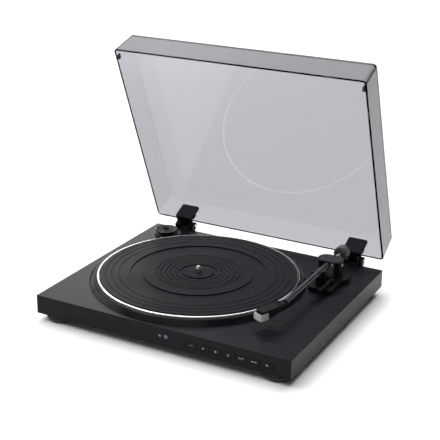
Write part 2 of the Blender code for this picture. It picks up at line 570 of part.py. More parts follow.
def hinge_base(pivot_y, pivot_z):
    """Side view of the fixed half: a back plate and a round-nosed ear."""
    nose = [(pivot_y + 0.0052 * cos(t), pivot_z + 0.0052 * sin(t))
            for t in [radians(-50 + 20 * k) for k in range(9)]]
    rear = REAR_Y + GAP
    return ([(rear, 0.0150), (rear + 0.0022, 0.0150), (rear + 0.0022, 0.0250)] + nose
            + [(rear, DECK + 0.0060)])


def hinge_clip():
    """Side view of the clip on the cover: the pad inside, the bridge through the notch in the
    rim, and the plate outside, leaning with the wall's draft."""
    lean = LID_DRAFT / LID_H
    inner, outer = LID_REAR - LID_WALL - 0.0004, LID_REAR + GAP
    floor, ceiling = LID_RIM - 0.0014, LID_RIM + 0.0030
    pad_top, plate_top = LID_RIM + 0.0280, LID_RIM + 0.0160
    return [(inner - 0.0030, floor), (outer + 0.0022, floor),
            (outer + 0.0022 - lean * 0.016, plate_top), (outer - lean * 0.016, plate_top),
            (outer, ceiling), (inner, ceiling), (inner - lean * 0.028, pad_top),
            (inner - 0.0030 - lean * 0.028, pad_top)]


def make_dust_cover(base):
    lid = empty("lid_hinge_axis", (0, HINGE_Y, HINGE_Z), base, (-LID_OPEN, 0, 0))
    shut = Matrix.Translation((0, -HINGE_Y, -HINGE_Z))
    top = LID_RIM + LID_H
    bm = bmesh.new()
    rings = [shell_ring(bm, inset, height, top) for inset, height in
             ((LID_WALL, top - LID_WALL), (LID_WALL, LID_RIM), (0, LID_RIM),
              (0, top - 0.0005), (0.0005, top))]
    for low, high in zip(rings, rings[1:]):
        for k in range(len(low)):
            bm.faces.new((low[k - 1], low[k], high[k], high[k - 1]))
    bm.faces.new(rings[0])
    bm.faces.new(rings[-1])
    bm.transform(shut)
    cover = piece("dust_cover", bm, "smoked_acrylic", lid)

    for name, side in (("left", -1), ("right", 1)):
        x = side * HINGE_X
        notch = box(x - 0.0150, x + 0.0150, LID_REAR - 0.008, LID_REAR + 0.004,
                    LID_RIM - 0.003, LID_RIM + 0.0034)
        notch.transform(shut)
        shape(cover, "DIFFERENCE", notch, f"notch_{name}")

        clip_body = side_prism(hinge_clip(), x - 0.0145, x + 0.0145)
        clip_body.transform(shut)
        clip = piece(f"hinge_clip_{name}", clip_body, "arm_black", lid)
        neck = box(x - KNUCKLE_HALF, x + KNUCKLE_HALF, LID_REAR + 0.001, HINGE_Y,
                   LID_RIM - 0.0014, LID_RIM + 0.0046)
        neck.transform(shut)
        shape(clip, "UNION", neck, "neck")
        barrel = along_x(prism(circle(0.0046, 24), -KNUCKLE_HALF, KNUCKLE_HALF))
        barrel.transform(Matrix.Translation((x, 0, 0)))
        shape(clip, "UNION", barrel, "barrel")
        bore = along_x(prism(circle(0.0023, 16), -0.02, 0.02))
        bore.transform(Matrix.Translation((x, 0, 0)))
        shape(clip, "DIFFERENCE", bore, "bore")

        fixed = side_prism(hinge_base(HINGE_Y, HINGE_Z), x - HINGE_HALF, x + HINGE_HALF)
        bracket = piece(f"hinge_base_{name}", fixed, "arm_black", base)
        room = KNUCKLE_HALF + 0.0004
        shape(bracket, "DIFFERENCE", box(x - room, x + room, REAR_Y + 0.0025, HINGE_Y + 0.02,
                                         HINGE_Z - 0.0052, 0.07), "knuckle_slot")
        shape(bracket, "DIFFERENCE", box(x - room, x + room, REAR_Y - 0.01, HINGE_Y,
                                         DECK - 0.0006, 0.07), "front_slot")
        bore = along_x(prism(circle(0.0023, 16), -0.03, 0.03))
        bore.transform(Matrix.Translation((x, HINGE_Y, HINGE_Z)))
        shape(bracket, "DIFFERENCE", bore, "bore")
        pin = [(0, -HINGE_HALF - 0.0006), (0.0020, -HINGE_HALF - 0.0006),
               (0.0020, HINGE_HALF + 0.0006), (0, HINGE_HALF + 0.0006)]
        piece(f"hinge_pin_{name}", along_x(turned(pin, 16)), "steel", base,
              (x, HINGE_Y, HINGE_Z))

        inner = side * (LID_W / 2 - LID_WALL - 0.0006)
        front = LID_REAR - LID_D + 0.0100
        pad = box(min(inner, inner - side * 0.003), max(inner, inner - side * 0.003),
                  front, front + 0.0080, DECK + 0.0004, LID_RIM + 0.0050, 0.0006)
        pad.transform(shut)
        piece(f"bumper_{name}", pad, "foot_rubber", lid)


def main():
    for old in list(bpy.data.objects):
        bpy.data.objects.remove(old, do_unlink=True)
    make_materials()
    base = empty("plinth_frame", Vector((0, PLINTH_Y, 0)))
    make_plinth(base)
    make_underside(base)
    make_platter(base)
    make_drive(base)
    make_front_controls(base)
    make_rear_sockets(base)
    make_adapter(base)
    make_arm_base(base)
    make_cueing(base)
    make_arm(make_yoke(base))
    make_dust_cover(base)


main()
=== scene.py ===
"""Looks of the belt-drive turntable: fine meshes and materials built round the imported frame.

Metres, +Z up, +Y to the rear.  Shapes are drawn in the plinth's own coordinates, where the
plinth is centred on x = 0 and y = 0, and piece() carries them into the frame of the CAD.
"""

from math import atan2, cos, pi, radians, sin, tan

import bmesh
import bpy
from mathutils import Matrix, Vector


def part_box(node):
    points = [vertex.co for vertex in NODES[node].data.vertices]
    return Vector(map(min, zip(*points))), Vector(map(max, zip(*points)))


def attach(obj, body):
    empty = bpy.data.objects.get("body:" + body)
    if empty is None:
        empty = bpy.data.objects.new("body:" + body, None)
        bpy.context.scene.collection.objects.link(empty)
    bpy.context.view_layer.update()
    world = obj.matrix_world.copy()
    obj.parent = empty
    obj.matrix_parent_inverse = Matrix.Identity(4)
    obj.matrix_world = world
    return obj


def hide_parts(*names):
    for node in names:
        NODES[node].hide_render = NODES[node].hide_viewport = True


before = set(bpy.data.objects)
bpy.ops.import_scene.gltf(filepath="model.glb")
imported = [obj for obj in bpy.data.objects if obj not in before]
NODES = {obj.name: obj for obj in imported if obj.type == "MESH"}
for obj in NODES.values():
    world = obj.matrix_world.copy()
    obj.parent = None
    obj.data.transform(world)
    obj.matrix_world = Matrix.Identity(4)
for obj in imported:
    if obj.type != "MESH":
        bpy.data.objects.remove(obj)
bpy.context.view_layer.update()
scene = bpy.context.scene

# ------------------------------------------------- the part's driving dimensions, in metres
GAP = 0.0003
PLINTH_W, PLINTH_D = 0.400, 0.331
PLINTH_BOTTOM, DECK, PLINTH_WALL = 0.011, 0.039, 0.003
FOOT_R, FOOT_X, FOOT_Y = 0.0245, 0.172, 0.139
FRONT_Y, REAR_Y = -PLINTH_D / 2, PLINTH_D / 2
COVER_INSET = 0.0034                # from the plinth's outside to the edge of the bottom cover
PLINTH_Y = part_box("bottom_cover")[0].y + (PLINTH_D / 2 - COVER_INSET)
PLATTER_X, PLATTER_R = -0.0277, 0.150
PLATTER_TOP, PLATE_TOP = DECK + 0.0102, DECK + 0.0082
MAT_R, MAT_TOP = 0.1462, DECK + 0.0111
WELL_R, WELL_FLOOR = 0.1513, DECK - 0.012
BOSS_TOP_R, BOSS_BASE_R, BOSS_H = 0.154, 0.1605, 0.008
SPINDLE_R, SPINDLE_TIP = 0.0036, DECK + 0.021
BUTTON_COUNT, BUTTON_PITCH, BUTTON_FIRST_X = 7, 0.01870, 0.0448
BUTTON_H, BUTTON_Z, BUTTON_DEPTH, BUTTON_GAP = 0.0074, DECK - 0.015, 0.0055, 0.0006
SOCKET_LEFT_X, SOCKET_RIGHT_X, POWER_X, SOCKET_Z = 0.0300, 0.0440, -0.0400, 0.025
LED_X, IR_X, LAMP_Z = 0.0054, 0.0147, DECK - 0.0128
PIVOT_X, PIVOT_Y, ARM_Z = 0.1415, 0.098, DECK + 0.0248
PEDESTAL_R, PEDESTAL_TOP = 0.030, DECK + 0.0065
CAP_TOP = ARM_Z + 0.0075
TUBE_R, SLEEVE_R, TUBE_END = 0.0040, 0.0047, -0.1580
OFFSET_ANGLE = radians(24)
LIFT_FORWARD, REST_FORWARD = 0.031, 0.0405
REST_PLAY, LIFT_PLAY = 0.0009, 0.0005   # room under the parked tube, over rest and lift bar
LEVER_X, LEVER_Y, LEVER_Z = 0.0148, -0.032, PEDESTAL_TOP + 0.0045
WEIGHT_FRONT, WEIGHT_LENGTH, WEIGHT_R = 0.0405, 0.011, 0.011
LID_W, LID_D, LID_H, LID_WALL, LID_DRAFT = 0.3994, 0.3255, 0.0455, 0.003, 0.0022
LID_RIM, LID_REAR, LID_OPEN = DECK + 0.002, 0.1627, radians(68)
HINGE_Y, HINGE_Z, HINGE_X = REAR_Y + 0.00935, DECK + 0.005, 0.149
HINGE_HALF, KNUCKLE_HALF, BARREL_HALF, PIN_HOLE_R = 0.0165, 0.0093, 0.0078, 0.0023
BARREL_ROOM = 0.0052                # radius kept free round the barrel
ADAPTER_X, ADAPTER_Y, ADAPTER_R, ADAPTER_H = -0.160, 0.128, 0.0185, 0.010


# ------------------------------------------------------------------------ mesh helpers
def arc(points, closed=False, steps=4):
    """Rounds the corners of a line of (u, v, radius) or (u, v) points."""
    count = len(points)
    line = []
    for k, point in enumerate(points):
        radius = point[2] if len(point) > 2 else 0.0
        here = Vector(point[:2])
        if not radius or (not closed and k in (0, count - 1)):
            line.append(tuple(here))
            continue
        back = Vector(points[k - 1][:2]) - here
        ahead = Vector(points[(k + 1) % count][:2]) - here
        angle = back.angle(ahead)
        if angle > pi - 0.02:
            line.append(tuple(here))
            continue
        reach = min(radius / tan(angle / 2), 0.49 * back.length, 0.49 * ahead.length)
        radius = reach * tan(angle / 2)
        middle = here + (back.normalized() + ahead.normalized()).normalized() * (
            radius / sin(angle / 2))
        first = here + back.normalized() * reach - middle
        last = here + ahead.normalized() * reach - middle
        start = atan2(first.y, first.x)
        sweep = atan2(last.y, last.x) - start
        sweep = (sweep + pi) % (2 * pi) - pi
        for s in range(steps + 1):
            a = start + sweep * s / steps
            line.append((middle.x + radius * cos(a), middle.y + radius * sin(a)))
    return line


def turned(profile, segments=96, steps=4):
    """A solid of revolution about Z from (radius, height, corner radius) points."""
    closed = profile[0][0] > 0
    line = arc(profile, closed, steps)
    bm = bmesh.new()
    rings = []
    for radius, height in line:
        if radius < 1e-7:
            rings.append([bm.verts.new((0, 0, height))] * segments)
        else:
            rings.append([bm.verts.new((radius * cos(2 * pi * k / segments),
                                        radius * sin(2 * pi * k / segments), height))
                          for k in range(segments)])
    pairs = list(zip(rings, rings[1:]))
    if closed:
        pairs.append((rings[-1], rings[0]))
    for low, high in pairs:
        for k in range(segments):
            corners = list(dict.fromkeys([low[k], low[k - 1], high[k - 1], high[k]]))
            if len(corners) > 2:
                bm.faces.new(corners)
    return bm


def prism(outline, low, high):
    bm = bmesh.new()
    bottom = [bm.verts.new((x, y, low)) for x, y in outline]
    top = [bm.verts.new((x, y, high)) for x, y in outline]
    bm.faces.new(bottom)
    bm.faces.new(top)
    for k in range(len(outline)):
        bm.faces.new((bottom[k - 1], bottom[k], top[k], top[k - 1]))
    return bm


def box(x0, x1, y0, y1, z0, z1):
    return prism([(x0, y0), (x1, y0), (x1, y1), (x0, y1)], z0, z1)


def rounded_rectangle(half_x, half_y, radius, steps=8, x=0.0, y=0.0):
    corners = [(x + half_x, y + half_y, radius), (x - half_x, y + half_y, radius),
               (x - half_x, y - half_y, radius), (x + half_x, y - half_y, radius)]
    return arc(corners, True, steps)


def circle(radius, segments=48, x=0.0, y=0.0):
    return [(x + radius * cos(2 * pi * k / segments), y + radius * sin(2 * pi * k / segments))
            for k in range(segments)]


def side_prism(outline, x0, x1):
    """An outline in Y and Z, extruded along X."""
    bm = prism(outline, x0, x1)
    bm.transform(Matrix(((0, 0, 1, 0), (1, 0, 0, 0), (0, 1, 0, 0), (0, 0, 0, 1))))
    return bm


def front_prism(outline, y0, y1):
    """An outline in X and Z, extruded along Y."""
    bm = prism(outline, y0, y1)
    bm.transform(Matrix(((1, 0, 0, 0), (0, 0, 1, 0), (0, 1, 0, 0), (0, 0, 0, 1))))
    return bm


def moved(bm, x=0.0, y=0.0, z=0.0):
    bm.transform(Matrix.Translation((x, y, z)))
    return bm


def spun(bm, angle, axis):
    bm.transform(Matrix.Rotation(angle, 4, axis))
    return bm


def along_y(bm):
    """Turns a piece built along Z so that its top points to the rear."""
    return spun(bm, -pi / 2, "X")


def along_x(bm):
    return spun(bm, pi / 2, "Y")


def joined(*parts):
    """Several bmeshes as one, without merging their surfaces."""
    whole = parts[0]
    for part in parts[1:]:
        mesh = bpy.data.meshes.new("part")
        part.to_mesh(mesh)
        part.free()
        whole.from_mesh(mesh)
        bpy.data.meshes.remove(mesh)
    return whole


def baked(obj):
    """Puts the result of the modifiers into the object's mesh."""
    graph = bpy.context.evaluated_depsgraph_get()
    mesh = bpy.data.meshes.new_from_object(obj.evaluated_get(graph), depsgraph=graph)
    old = obj.data
    obj.modifiers.clear()
    obj.data = mesh
    bpy.data.meshes.remove(old)
    return obj


def mesh_object(name, bm):
    bmesh.ops.recalc_face_normals(bm, faces=bm.faces[:])
    mesh = bpy.data.meshes.new(name)
    bm.to_mesh(mesh)
    bm.free()
    obj = bpy.data.objects.new(name, mesh)
    scene.collection.objects.link(obj)
    return obj


def cut(obj, bm, operation="DIFFERENCE"):
    """Cuts or joins a tool mesh at once, and removes the tool."""
    tool = mesh_object("tool", bm)
    step = obj.modifiers.new("step", "BOOLEAN")
    step.operation = operation
    step.solver = "EXACT"
    step.object = tool
    baked(obj)
    bpy.data.objects.remove(tool)
    return obj


def softened(obj, width):
    """Rounds every edge of a plain solid before it is cut or joined."""
    step = obj.modifiers.new("bevel", "BEVEL")
    step.width, step.segments = width, 4
    return baked(obj)


def piece(name, shape, mat, body, bevel=0.0, segments=3, sharp=35, matrix=None,
          replaces=None, angle=30):
    """Finishes a piece: soft edges, clean shading, material and body, and hides the CAD node
    that it replaces.
    """
    obj = shape if isinstance(shape, bpy.types.Object) else mesh_object(name, shape)
    obj.name = name
    if bevel:
        step = obj.modifiers.new("bevel", "BEVEL")
        step.width = bevel
        step.segments = segments
        step.limit_method = "ANGLE"
        step.angle_limit = radians(angle)
        step.use_clamp_overlap = True
        baked(obj)
    mesh = obj.data
    if matrix is not None:
        mesh.transform(matrix)
    mesh.transform(Matrix.Translation((0, PLINTH_Y, 0)))
    mesh.shade_smooth()
    mesh.set_sharp_from_angle(angle=radians(sharp))
    step = obj.modifiers.new("normals", "WEIGHTED_NORMAL")
    step.keep_sharp = True
    step.weight = 50
    baked(obj)
    obj.data.materials.clear()
    for one in (mat if isinstance(mat, (list, tuple)) else [mat]):
        obj.data.materials.append(one)
    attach(obj, body)
    if replaces:
        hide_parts(replaces)
    return obj


# ------------------------------------------------------------------------ materials
def new_material(name):
    mat = bpy.data.materials.new(name)
    mat.use_nodes = True
    nodes = mat.node_tree.nodes
    return mat, nodes, mat.node_tree.links, nodes["Principled BSDF"]


def noise(nodes, links, coords, scale, detail):
    node = nodes.new("ShaderNodeTexNoise")
    node.inputs["Scale"].default_value = scale
    node.inputs["Detail"].default_value = detail
    links.new(coords, node.inputs["Vector"])
    return node.outputs["Fac"]


def ramp(nodes, links, value, low, high, from_low=0.3, from_high=0.7):
    node = nodes.new("ShaderNodeMapRange")
    node.inputs["From Min"].default_value = from_low
    node.inputs["From Max"].default_value = from_high
    node.inputs["To Min"].default_value = low
    node.inputs["To Max"].default_value = high
    links.new(value, node.inputs["Value"])
    return node.outputs["Result"]


def shades(nodes, links, value, dark, light):
    node = nodes.new("ShaderNodeMix")
    node.data_type = "RGBA"
    links.new(value, node.inputs["Factor"])
    node.inputs[6].default_value = (*dark, 1)
    node.inputs[7].default_value = (*light, 1)
    return node.outputs[2]


def bump(nodes, links, height, strength, distance, normal=None):
    node = nodes.new("ShaderNodeBump")
    node.inputs["Strength"].default_value = strength
    node.inputs["Distance"].default_value = distance
    links.new(height, node.inputs["Height"])
    if normal is not None:
        links.new(normal, node.inputs["Normal"])
    return node.outputs["Normal"]


def plain(name, colour, rough, metallic=0.0, grain=900.0, depth=0.00003, spread=0.12,
          cloud=18.0, tone=0.10, specular=0.5):
    """A moulded, painted or machined finish: fine grain, and slow cloudy change of tone
    and gloss over the surface."""
    mat, nodes, links, shader = new_material(name)
    coords = nodes.new("ShaderNodeTexCoord").outputs["Object"]
    slow = noise(nodes, links, coords, cloud, 2.0)
    fine = noise(nodes, links, coords, grain, 2.0)
    dark = [c * (1 - tone) for c in colour]
    light = [min(1, c * (1 + tone)) for c in colour]
    links.new(shades(nodes, links, slow, dark, light), shader.inputs["Base Color"])
    links.new(ramp(nodes, links, slow, rough * (1 - spread), rough * (1 + spread)),
              shader.inputs["Roughness"])
    links.new(bump(nodes, links, fine, 0.6, depth), shader.inputs["Normal"])
    shader.inputs["Metallic"].default_value = metallic
    shader.inputs["Specular IOR Level"].default_value = specular
    return mat


def radius_from(nodes, links, coords, centre):
    """Distance from a vertical axis."""
    shift = nodes.new("ShaderNodeVectorMath")
    shift.operation = "SUBTRACT"
    links.new(coords, shift.inputs[0])
    shift.inputs[1].default_value = centre
    flat = nodes.new("ShaderNodeVectorMath")
    flat.operation = "MULTIPLY"
    links.new(shift.outputs[0], flat.inputs[0])
    flat.inputs[1].default_value = (1, 1, 0)
    length = nodes.new("ShaderNodeVectorMath")
    length.operation = "LENGTH"
    links.new(flat.outputs[0], length.inputs[0])
    return length.outputs["Value"]


def ringed(name, colour, rough, metallic, centre, pitch, strength, distance, tone=0.1,
           specular=0.5, grain=700.0):
    """A finish with fine rings round a vertical axis: turned metal or ribbed rubber."""
    mat, nodes, links, shader = new_material(name)
    coords = nodes.new("ShaderNodeTexCoord").outputs["Object"]
    radius = radius_from(nodes, links, coords, centre)
    wave = nodes.new("ShaderNodeMath")
    wave.operation = "MULTIPLY"
    links.new(radius, wave.inputs[0])
    wave.inputs[1].default_value = 2 * pi / pitch
    rings = nodes.new("ShaderNodeMath")
    rings.operation = "SINE"
    links.new(wave.outputs[0], rings.inputs[0])
    slow = noise(nodes, links, coords, 16.0, 2.0)
    fine = noise(nodes, links, coords, grain, 2.0)
    dark = [c * (1 - tone) for c in colour]
    light = [min(1, c * (1 + tone)) for c in colour]
    links.new(shades(nodes, links, slow, dark, light), shader.inputs["Base Color"])
    links.new(ramp(nodes, links, slow, rough * 0.88, rough * 1.12),
              shader.inputs["Roughness"])
    grainy = bump(nodes, links, fine, 0.5, 0.00003)
    links.new(bump(nodes, links, rings.outputs[0], strength, distance, grainy),
              shader.inputs["Normal"])
    shader.inputs["Metallic"].default_value = metallic
    shader.inputs["Specular IOR Level"].default_value = specular
    return mat


def clear(name, tint, density, rough, ior, dust, through=1.0):
    """Clear moulding: light is absorbed along its path, so that edges look darker."""
    mat, nodes, links, shader = new_material(name)
    coords = nodes.new("ShaderNodeTexCoord").outputs["Object"]
    slow = noise(nodes, links, coords, 9.0, 2.0)
    links.new(ramp(nodes, links, slow, rough, rough + dust), shader.inputs["Roughness"])
    links.new(shades(nodes, links, slow, (0.97, 0.975, 0.985), (0.985, 0.99, 1)),
              shader.inputs["Base Color"])
    shader.inputs["Transmission Weight"].default_value = through
    shader.inputs["IOR"].default_value = ior
    inside = nodes.new("ShaderNodeVolumeAbsorption")
    inside.inputs["Color"].default_value = (*tint, 1)
    inside.inputs["Density"].default_value = density
    links.new(inside.outputs["Volume"], nodes["Material Output"].inputs["Volume"])
    return mat


PLATTER_CENTRE = (PLATTER_X, PLINTH_Y, 0)
M = {
    "deck": plain("satin_black_moulding", (0.0050, 0.0053, 0.0072), 0.27, grain=1500.0,
                  depth=0.000010, spread=0.08, tone=0.06, specular=0.11),
    "cover": plain("matt_black_pressing", (0.020, 0.020, 0.021), 0.55, grain=600.0,
                   depth=0.00006),
    "rubber": plain("black_rubber", (0.014, 0.014, 0.014), 0.70, grain=420.0,
                    depth=0.00008, tone=0.2),
    "mat": ringed("ribbed_rubber", (0.0052, 0.0055, 0.0076), 0.44, 0.0, PLATTER_CENTRE,
                  0.0012, 0.25, 0.00006, tone=0.12, specular=0.07),
    "rim": ringed("polished_aluminium", (0.86, 0.86, 0.87), 0.12, 1.0, PLATTER_CENTRE,
                  0.0004, 0.10, 0.000004, tone=0.03),
    "side": plain("satin_aluminium", (0.55, 0.55, 0.57), 0.34, 1.0, grain=1200.0,
                  depth=0.00001),
    "steel": plain("bright_steel", (0.72, 0.72, 0.73), 0.30, 1.0, grain=800.0,
                   depth=0.000006),
    "brushed": plain("brushed_steel", (0.56, 0.56, 0.57), 0.32, 1.0, grain=500.0,
                     depth=0.00002),
    "brass": plain("turned_brass", (0.70, 0.50, 0.20), 0.25, 1.0, grain=500.0,
                   depth=0.00001),
    "tube": plain("grey_painted_tube", (0.020, 0.021, 0.025), 0.27, 0.0, grain=1400.0,
                  depth=0.00001, specular=0.32),
    "weight": plain("grey_painted_weight", (0.055, 0.056, 0.062), 0.34, 0.0, grain=1200.0,
                    depth=0.00001, specular=0.5),
    "arm": plain("satin_black_casting", (0.0035, 0.0037, 0.0052), 0.36, grain=1300.0,
                 depth=0.00001, specular=0.09),
    "cap": plain("grey_satin_cap", (0.016, 0.017, 0.021), 0.42, 0.0, grain=1500.0,
                 depth=0.000008, specular=0.13),
    "clip": plain("black_hinge_moulding", (0.0060, 0.0062, 0.0082), 0.42, grain=900.0,
                  depth=0.00002, specular=0.04),
    "gloss": plain("gloss_black_moulding", (0.005, 0.005, 0.0062), 0.10, grain=400.0,
                   depth=0.000006, spread=0.3, specular=0.30),
    "belt": plain("belt_rubber_black", (0.012, 0.012, 0.012), 0.60, grain=300.0),
    "board": plain("green_board", (0.020, 0.120, 0.060), 0.42, grain=260.0,
                   depth=0.00006, tone=0.25, cloud=220.0),
    "red": plain("red_socket_collar", (0.50, 0.015, 0.015), 0.35, grain=600.0),
    "white": plain("white_socket_collar", (0.72, 0.72, 0.70), 0.35, grain=600.0),
    "lens": plain("frosted_lens", (0.10, 0.105, 0.125), 0.18, grain=700.0, spread=0.3),
    "lamp": plain("pale_lamp", (0.24, 0.24, 0.26), 0.25, grain=700.0),
    "mark": plain("pale_marking", (0.42, 0.42, 0.44), 0.55, grain=1500.0),
    "plug": plain("socket_plating", (0.80, 0.66, 0.38), 0.20, 1.0, grain=500.0,
                  depth=0.00001),
    "guard": clear("frosted_guard", (0.90, 0.90, 0.92), 30.0, 0.12, 1.46, 0.12, 0.72),
    "tip": plain("pale_stylus_holder", (0.62, 0.62, 0.63), 0.35, grain=900.0),
    "acrylic": clear("smoked_acrylic_sheet", (0.30, 0.305, 0.335), 362.0, 0.0, 1.32, 0.012),
}

# CAD nodes that keep their own mesh, and the finish that each gets
KEPT = {
    "bumper_left": "rubber", "bumper_right": "rubber", "motor_body": "brushed",
    "motor_bracket": "brushed", "motor_pulley": "brass", "drive_belt": "belt",
    "bearing_sleeve": "brass", "main_board": "board", "button_board": "board",
    "arm_bearing": "brass", "yaw_shaft": "steel", "return_arm": "brushed",
    "pivot_block": "brushed", "rear_stub": "steel", "stylus": "tip",
    "hinge_pin_left": "steel", "hinge_pin_right": "steel",
}
for node, look in KEPT.items():
    mesh = NODES[node].data
    if not mesh.materials:
        mesh.materials.append(M[look])
    for k in range(len(mesh.materials)):
        mesh.materials[k] = M[look]


# ------------------------------------------------------------------------ plinth
def make_plinth():
    half_w, half_d = PLINTH_W / 2, PLINTH_D / 2
    shell = mesh_object("shell", box(-half_w, half_w, -half_d, half_d, PLINTH_BOTTOM, DECK))
    softened(shell, 0.0010)
    # the slope is straight, because the shut cover's walls come down close outside it
    boss = turned([(0, DECK - 0.004), (BOSS_BASE_R, DECK - 0.004), (BOSS_BASE_R, DECK),
                   (BOSS_TOP_R, DECK + BOSS_H, 0.0030), (WELL_R - 0.01, DECK + BOSS_H),
                   (0, DECK + BOSS_H)], 256, 8)
    cut(shell, moved(boss, PLATTER_X), "UNION")
    near, far = BOSS_BASE_R + 0.0001, BOSS_BASE_R + 0.0009
    groove = turned([(near, DECK - 0.0007), (far, DECK - 0.0007),
                     (far, DECK + 0.001), (near, DECK + 0.001)], 256)
    cut(shell, moved(groove, PLATTER_X))
    well = turned([(0, WELL_FLOOR), (WELL_R, WELL_FLOOR), (WELL_R, DECK + BOSS_H - 0.0004),
                   (WELL_R + 0.0004, DECK + BOSS_H), (WELL_R + 0.0004, DECK + 0.02),
                   (0, DECK + 0.02)], 256)
    cut(shell, moved(well, PLATTER_X))
    in_w, in_d = half_w - PLINTH_WALL, half_d - PLINTH_WALL
    cut(shell, box(-in_w, in_w, -in_d, in_d, 0.0, WELL_FLOOR - 0.0025))
    x1 = BUTTON_FIRST_X + BUTTON_COUNT * BUTTON_PITCH + GAP
    cut(shell, box(BUTTON_FIRST_X - GAP, x1, FRONT_Y - 0.01, FRONT_Y + 0.0075,
                   BUTTON_Z - BUTTON_H / 2 - GAP, BUTTON_Z + BUTTON_H / 2 + GAP))
    for x, radius in ((LED_X, 0.0021), (IR_X, 0.0036)):
        hole = along_y(prism(circle(radius, 32), -0.003, 0.006))
        cut(shell, moved(hole, x, FRONT_Y, LAMP_Z))
    cut(shell, box(-0.0553, 0.0553, REAR_Y - 0.010, REAR_Y + 0.01, 0.0152, 0.0348))
    piece("shell_body", shell, M["deck"], "plinth", sharp=24,
          replaces="plinth_shell")
    # the plate that closes the plinth from below, set a little inside its walls
    plate = prism(rounded_rectangle(half_w - 0.0032, half_d - 0.0032, 0.001),
                  PLINTH_BOTTOM + 0.0004, PLINTH_BOTTOM + 0.0020)
    piece("underside_plate", plate, M["cover"], "plinth", 0.0004,
          replaces="bottom_cover")
    # the vents are not cut: thin gloss black patches stand where they would be, their darker
    # colour painted shade of the openings
    for row, y in enumerate((-0.055, -0.047, -0.039, -0.031)):
        slot = prism(rounded_rectangle(0.018, 0.0013, 0.0013, x=0.110, y=y),
                     PLINTH_BOTTOM - 0.0001, PLINTH_BOTTOM + 0.0006)
        piece(f"vent_painted_shade_{row + 1}", slot, M["gloss"], "plinth", 0.0002)
    spots = [(-0.188, -0.110), (0.188, -0.110), (-0.188, 0.110), (0.188, 0.110),
             (0, -0.152), (0, 0.152), (-0.100, -0.152), (0.100, -0.152)]
    for k, (x, y) in enumerate(spots):
        screw(f"underside_screw_{k + 1}", (x, y, PLINTH_BOTTOM + 0.0004), (0, 0, -1), 0.0032,
              "plinth", 0.0009)
    foot = [(0, 0.0004), (FOOT_R - 0.007, 0.0004), (FOOT_R - 0.0065, 0, 0.0003),
            (FOOT_R - 0.003, 0, 0.0008), (FOOT_R, 0.0030, 0.0010), (FOOT_R, 0.0072, 0.0008),
            (FOOT_R - 0.0010, 0.0080, 0.0003), (FOOT_R - 0.0010, PLINTH_BOTTOM - GAP),
            (0, PLINTH_BOTTOM - GAP)]
    for name, sx, sy in (("front_left", -1, -1), ("front_right", 1, -1),
                         ("rear_left", -1, 1), ("rear_right", 1, 1)):
        piece(f"rubber_foot_{name}", turned(foot, 96), M["rubber"], "plinth",
              matrix=Matrix.Translation((sx * FOOT_X, sy * FOOT_Y, 0)),
              replaces=f"foot_{name}")


def screw(name, place, direction, radius, body, height=0.0008):
    """A small pan-head screw with a cross recess, its head pointing along direction."""
    outline = [(0, -0.0006), (radius, -0.0006), (radius, height * 0.4, 0.0002),
               (radius * 0.72, height, 0.0003), (0, height)]
    head = mesh_object(name, turned(outline, 32))
    for angle in (0, pi / 2):
        bar = box(-radius * 0.62, radius * 0.62, -radius * 0.13, radius * 0.13,
                  height * 0.35, height + 0.001)
        cut(head, spun(bar, angle, "Z"))
    turn = Vector((0, 0, 1)).rotation_difference(Vector(direction)).to_matrix().to_4x4()
    return piece(name, head, M["steel"], body,
                 matrix=Matrix.Translation(place) @ turn)


